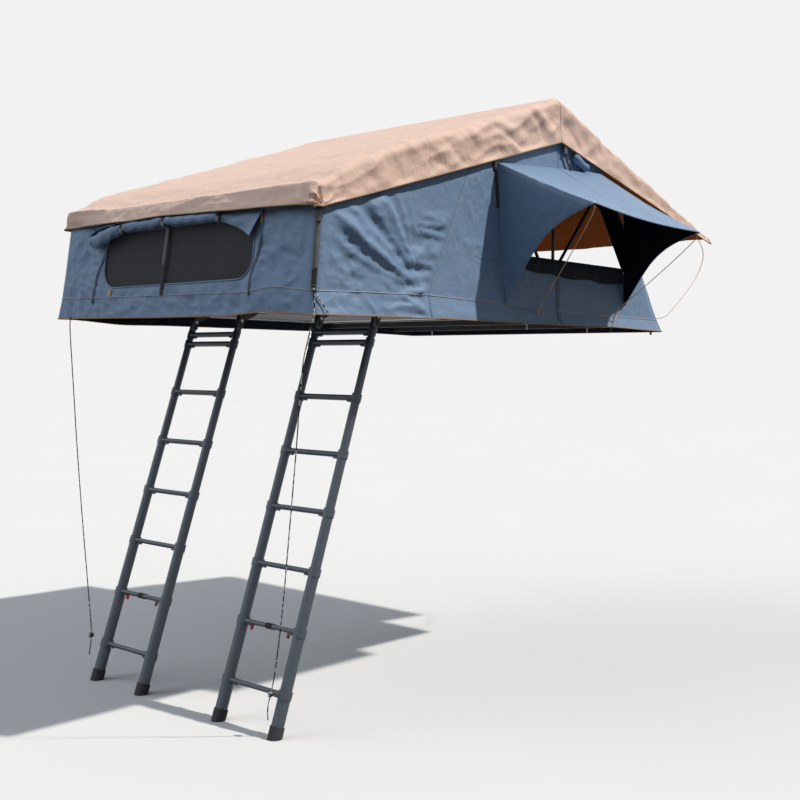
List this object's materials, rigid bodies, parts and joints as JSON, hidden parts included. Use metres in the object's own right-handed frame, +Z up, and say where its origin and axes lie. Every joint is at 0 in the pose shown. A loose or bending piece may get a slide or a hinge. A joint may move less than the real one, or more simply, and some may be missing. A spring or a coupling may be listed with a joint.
{
  "type": "roof top tent",
  "caption": "Fold-out roof top tent: hinged floor halves, bows, cloth canopy with an extended end, fly sheet, side awnings and telescopic ladders.",
  "frame": {"origin": "midway between the two mounting rails and midway along them, on their undersides", "axes": "+X to the gable seen in the picture, -Y to the ladder end, +Z up"},
  "size_m": [3.3876, 3.9876, 3.4878],
  "materials": {
    "alloy": "satin",
    "steel": "satin",
    "panel": "matte",
    "foam": "woven cover",
    "canvas": "woven canvas",
    "door_cloth": "woven canvas",
    "fly_cloth": "coated woven cloth",
    "mesh": "fine mesh",
    "webbing": "woven",
    "rope": "braided",
    "spring_wire": "satin",
    "black_metal": "satin",
    "ladder_metal": "satin",
    "rubber": "matte",
    "red_plastic": "satin"
  },
  "bodies": {
    "base": {"mount_rails": "alloy", "mount_studs": "steel", "base_floor_frame": "alloy", "base_floor_panel": "panel", "base_hinge_plates": "alloy", "hinge_pins": "steel", "base_mattress": "foam", "canopy_rear": "canvas", "fly_rear": "fly_cloth", "fly_rods": "spring_wire", "awning_right": "canvas", "awning_left": "canvas", "awning_rods_rear": "spring_wire", "door_flap_rolls": "door_cloth", "base_strap_tails": "webbing"},
    "fold_floor": {"fold_floor_frame": "alloy", "fold_floor_panel": "panel", "fold_hinge_plates": "alloy", "fold_mattress": "foam", "extension_pins": "steel", "canopy_front": "canvas", "fly_front": "fly_cloth", "awning_rods_front": "spring_wire", "ladder_brackets": "black_metal", "ladder_pins": "steel"},
    "ridge_bow": {"ridge_bow": "alloy"},
    "front_bow": {"front_bow": "alloy"},
    "rear_bow": {"rear_bow": "alloy"},
    "extension_bow": {"extension_bow": "alloy", "canopy_extension": "canvas", "window_mesh": "mesh", "window_cover_roll": "canvas", "canopy_straps": "webbing", "fly_extension": "fly_cloth", "rope_left": "rope", "rope_right": "rope"},
    "ladder_left_1": {"ladder_left_section_1": "ladder_metal"},
    "ladder_left_2": {"ladder_left_section_2": "ladder_metal"},
    "ladder_left_3": {"ladder_left_section_3": "ladder_metal"},
    "ladder_left_4": {"ladder_left_section_4": "ladder_metal"},
    "ladder_left_5": {"ladder_left_section_5": "ladder_metal"},
    "ladder_left_6": {"ladder_left_section_6": "ladder_metal"},
    "ladder_left_7": {"ladder_left_section_7": "ladder_metal", "ladder_left_strap": "webbing"},
    "ladder_left_8": {"ladder_left_section_8": "ladder_metal", "ladder_left_feet": "rubber"},
    "ladder_left_button_outer": {"ladder_left_button_outer": "red_plastic"},
    "ladder_left_button_inner": {"ladder_left_button_inner": "red_plastic"},
    "ladder_right_1": {"ladder_right_section_1": "ladder_metal"},
    "ladder_right_2": {"ladder_right_section_2": "ladder_metal"},
    "ladder_right_3": {"ladder_right_section_3": "ladder_metal"},
    "ladder_right_4": {"ladder_right_section_4": "ladder_metal"},
    "ladder_right_5": {"ladder_right_section_5": "ladder_metal"},
    "ladder_right_6": {"ladder_right_section_6": "ladder_metal"},
    "ladder_right_7": {"ladder_right_section_7": "ladder_metal", "ladder_right_strap": "webbing"},
    "ladder_right_8": {"ladder_right_section_8": "ladder_metal", "ladder_right_feet": "rubber"},
    "ladder_right_button_outer": {"ladder_right_button_outer": "red_plastic"},
    "ladder_right_button_inner": {"ladder_right_button_inner": "red_plastic"}
  },
  "joints": [
    {"name": "floor_fold", "type": "hinge", "parent": "base", "child": "fold_floor", "pos_m": [0, -0.6, 0.205], "axis": [-1, 0, 0], "range_deg": [0, 180], "deforming": ["canopy_rear", "canopy_front", "canopy_extension", "window_mesh", "window_cover_roll", "canopy_straps", "fly_rear", "fly_front", "fly_extension", "fly_rods", "awning_right", "awning_left", "awning_rods_rear", "awning_rods_front", "door_flap_rolls", "rope_left", "rope_right"]},
    {"name": "ridge_bow_fold", "type": "hinge", "parent": "base", "child": "ridge_bow", "pos_m": [0, -0.6, 0.205], "axis": [-1, 0, 0], "range_deg": [0, 90]},
    {"name": "front_bow_fold", "type": "hinge", "parent": "base", "child": "front_bow", "pos_m": [0, -0.6, 0.205], "axis": [-1, 0, 0], "range_deg": [0, 122.21]},
    {"name": "rear_bow_fold", "type": "hinge", "parent": "base", "child": "rear_bow", "pos_m": [0, -0.6, 0.205], "axis": [-1, 0, 0], "range_deg": [0, 52.35]},
    {"name": "extension_fold", "type": "hinge", "parent": "fold_floor", "child": "extension_bow", "pos_m": [0, -1.77, 0.115], "axis": [-1, 0, 0], "range_deg": [0, 148], "deforming": ["canopy_extension", "window_mesh", "window_cover_roll", "canopy_straps", "fly_extension", "canopy_front", "fly_front", "rope_left", "rope_right"]},
    {"name": "ladder_left_pivot", "type": "hinge", "parent": "fold_floor", "child": "ladder_left_1", "pos_m": [-0.566, -1.846, -0.016], "axis": [-1, 0, 0], "range_deg": [0, 55], "deforming": ["rope_left"]},
    {"name": "ladder_left_top_slide", "type": "slide", "parent": "ladder_left_1", "child": "ladder_left_2", "axis": [0, -0.313, -0.9498], "range_m": [0, 0.2527], "deforming": ["rope_left"]},
    {"name": "ladder_left_slide_3", "type": "slide", "parent": "ladder_left_2", "child": "ladder_left_3", "axis": [0, 0.313, 0.9498], "range_m": [0, 0.2527], "deforming": ["rope_left"]},
    {"name": "ladder_left_slide_4", "type": "slide", "parent": "ladder_left_3", "child": "ladder_left_4", "axis": [0, 0.313, 0.9498], "range_m": [0, 0.2527]},
    {"name": "ladder_left_slide_5", "type": "slide", "parent": "ladder_left_4", "child": "ladder_left_5", "axis": [0, 0.313, 0.9498], "range_m": [0, 0.2527]},
    {"name": "ladder_left_slide_6", "type": "slide", "parent": "ladder_left_5", "child": "ladder_left_6", "axis": [0, 0.313, 0.9498], "range_m": [0, 0.2527]},
    {"name": "ladder_left_slide_7", "type": "slide", "parent": "ladder_left_6", "child": "ladder_left_7", "axis": [0, 0.313, 0.9498], "range_m": [0, 0.2527]},
    {"name": "ladder_left_slide_8", "type": "slide", "parent": "ladder_left_7", "child": "ladder_left_8", "axis": [0, 0.313, 0.9498], "range_m": [0, 0.155]},
    {"name": "ladder_left_button_outer_press", "type": "slide", "parent": "ladder_left_7", "child": "ladder_left_button_outer", "axis": [0, 0.313, 0.9498], "range_m": [0, 0.004], "stiffness_N_per_m": 400},
    {"name": "ladder_left_button_inner_press", "type": "slide", "parent": "ladder_left_7", "child": "ladder_left_button_inner", "axis": [0, 0.313, 0.9498], "range_m": [0, 0.004], "stiffness_N_per_m": 400},
    {"name": "ladder_right_pivot", "type": "hinge", "parent": "fold_floor", "child": "ladder_right_1", "pos_m": [0.566, -1.846, -0.016], "axis": [-1, 0, 0], "range_deg": [0, 55], "deforming": ["rope_right"]},
    {"name": "ladder_right_top_slide", "type": "slide", "parent": "ladder_right_1", "child": "ladder_right_2", "axis": [0, -0.313, -0.9498], "range_m": [0, 0.2527], "deforming": ["rope_right"]},
    {"name": "ladder_right_slide_3", "type": "slide", "parent": "ladder_right_2", "child": "ladder_right_3", "axis": [0, 0.313, 0.9498], "range_m": [0, 0.2527], "deforming": ["rope_right"]},
    {"name": "ladder_right_slide_4", "type": "slide", "parent": "ladder_right_3", "child": "ladder_right_4", "axis": [0, 0.313, 0.9498], "range_m": [0, 0.2527]},
    {"name": "ladder_right_slide_5", "type": "slide", "parent": "ladder_right_4", "child": "ladder_right_5", "axis": [0, 0.313, 0.9498], "range_m": [0, 0.2527]},
    {"name": "ladder_right_slide_6", "type": "slide", "parent": "ladder_right_5", "child": "ladder_right_6", "axis": [0, 0.313, 0.9498], "range_m": [0, 0.2527]},
    {"name": "ladder_right_slide_7", "type": "slide", "parent": "ladder_right_6", "child": "ladder_right_7", "axis": [0, 0.313, 0.9498], "range_m": [0, 0.2527]},
    {"name": "ladder_right_slide_8", "type": "slide", "parent": "ladder_right_7", "child": "ladder_right_8", "axis": [0, 0.313, 0.9498], "range_m": [0, 0.155]},
    {"name": "ladder_right_button_outer_press", "type": "slide", "parent": "ladder_right_7", "child": "ladder_right_button_outer", "axis": [0, 0.313, 0.9498], "range_m": [0, 0.004], "stiffness_N_per_m": 400},
    {"name": "ladder_right_button_inner_press", "type": "slide", "parent": "ladder_right_7", "child": "ladder_right_button_inner", "axis": [0, 0.313, 0.9498], "range_m": [0, 0.004], "stiffness_N_per_m": 400}
  ],
  "couplings": [
    {"joint": "ridge_bow_fold", "follows": "floor_fold", "ratio": 0.5},
    {"joint": "front_bow_fold", "follows": "floor_fold", "ratio": 0.6789},
    {"joint": "rear_bow_fold", "follows": "floor_fold", "ratio": 0.2908},
    {"joint": "ladder_left_slide_4", "follows": "ladder_left_slide_3", "ratio": 1},
    {"joint": "ladder_left_slide_5", "follows": "ladder_left_slide_3", "ratio": 1},
    {"joint": "ladder_left_slide_6", "follows": "ladder_left_slide_3", "ratio": 1},
    {"joint": "ladder_left_slide_7", "follows": "ladder_left_slide_3", "ratio": 1},
    {"joint": "ladder_left_slide_8", "follows": "ladder_left_slide_3", "ratio": 0.6134},
    {"joint": "ladder_right_slide_4", "follows": "ladder_right_slide_3", "ratio": 1},
    {"joint": "ladder_right_slide_5", "follows": "ladder_right_slide_3", "ratio": 1},
    {"joint": "ladder_right_slide_6", "follows": "ladder_right_slide_3", "ratio": 1},
    {"joint": "ladder_right_slide_7", "follows": "ladder_right_slide_3", "ratio": 1},
    {"joint": "ladder_right_slide_8", "follows": "ladder_right_slide_3", "ratio": 0.6134}
  ]
}
